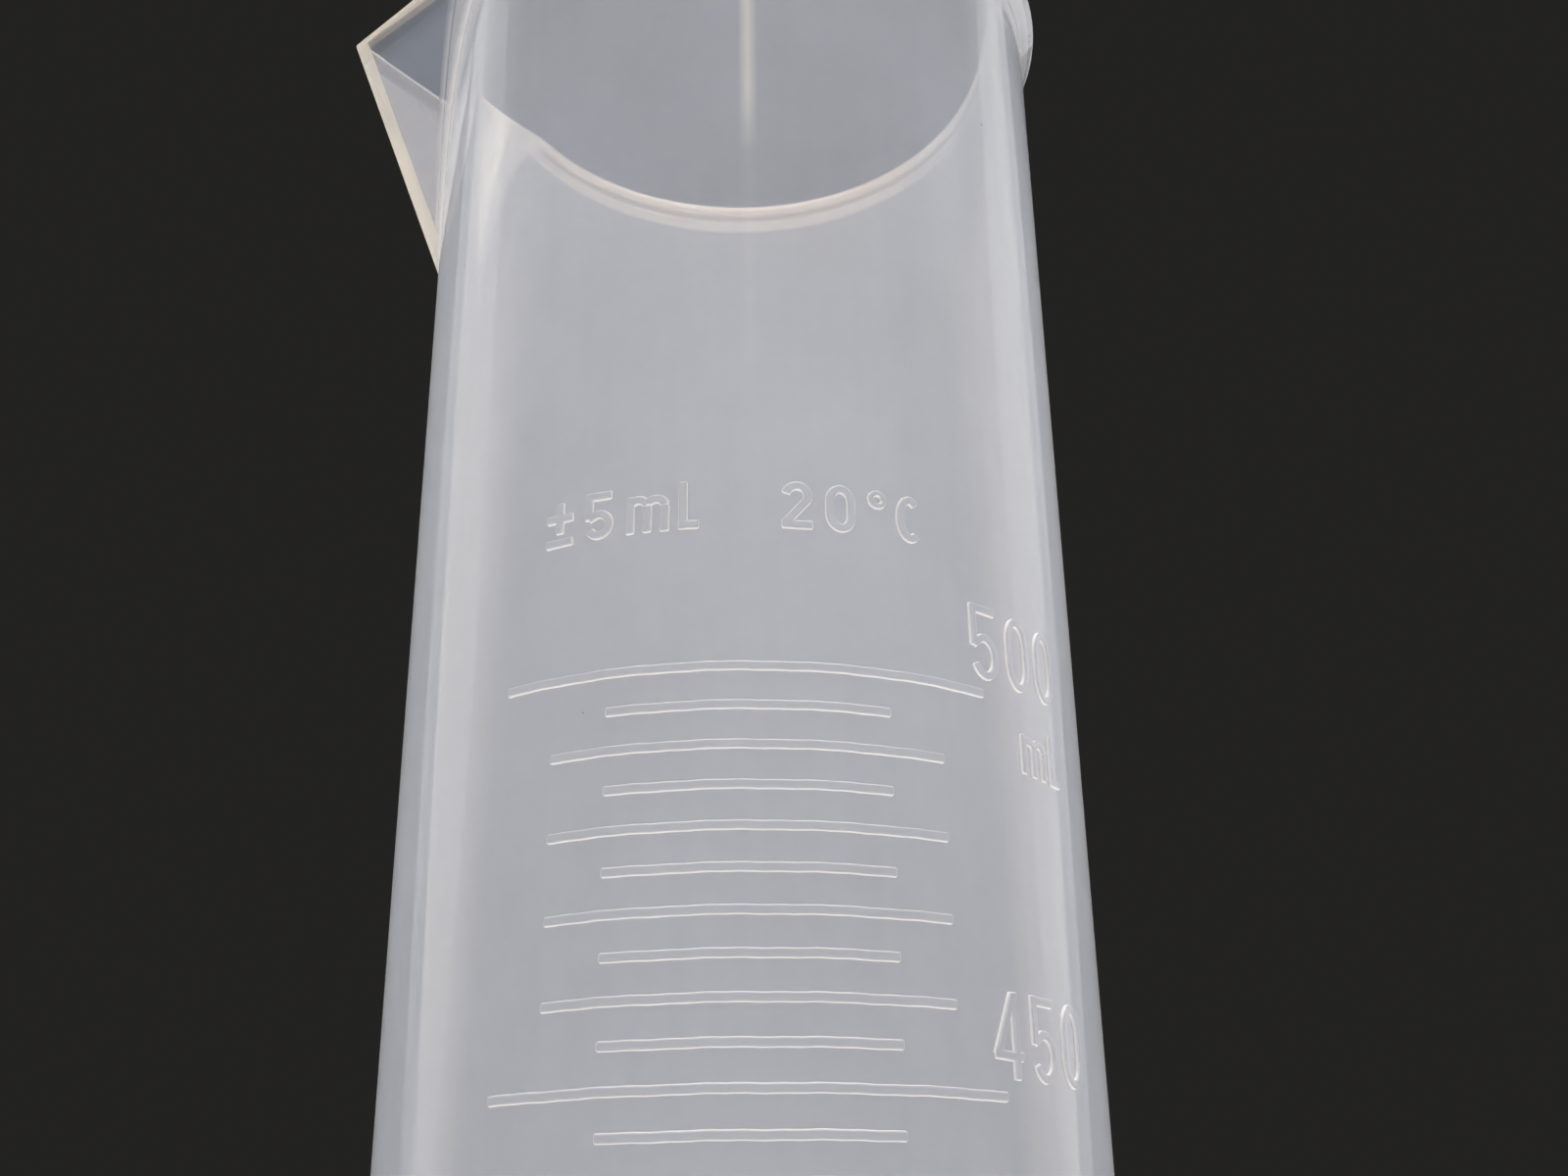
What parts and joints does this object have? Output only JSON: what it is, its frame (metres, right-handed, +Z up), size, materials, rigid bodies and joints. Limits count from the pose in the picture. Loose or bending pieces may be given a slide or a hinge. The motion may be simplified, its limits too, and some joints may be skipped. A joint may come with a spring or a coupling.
{
  "type": "graduated cylinder",
  "caption": "Milky plastic measuring cylinder: a tall tube with a raised scale, rim bead and folded pouring spout, snapped into a wide hexagonal foot.",
  "frame": {"origin": "centre of the foot's underside, on the surface that the cylinder stands on", "axes": "+Z up along the tube's axis; the raised scale faces -Y; the pouring spout points to -X"},
  "size_m": [0.106, 0.094, 0.3576],
  "materials": {
    "tube_plastic": "milky translucent natural polypropylene, smooth moulded gloss",
    "foot_plastic": "milky translucent natural polypropylene, thicker and cloudier than the tube"
  },
  "bodies": {
    "root": {"tube": "tube_plastic", "foot": "foot_plastic"}
  },
  "joints": []
}
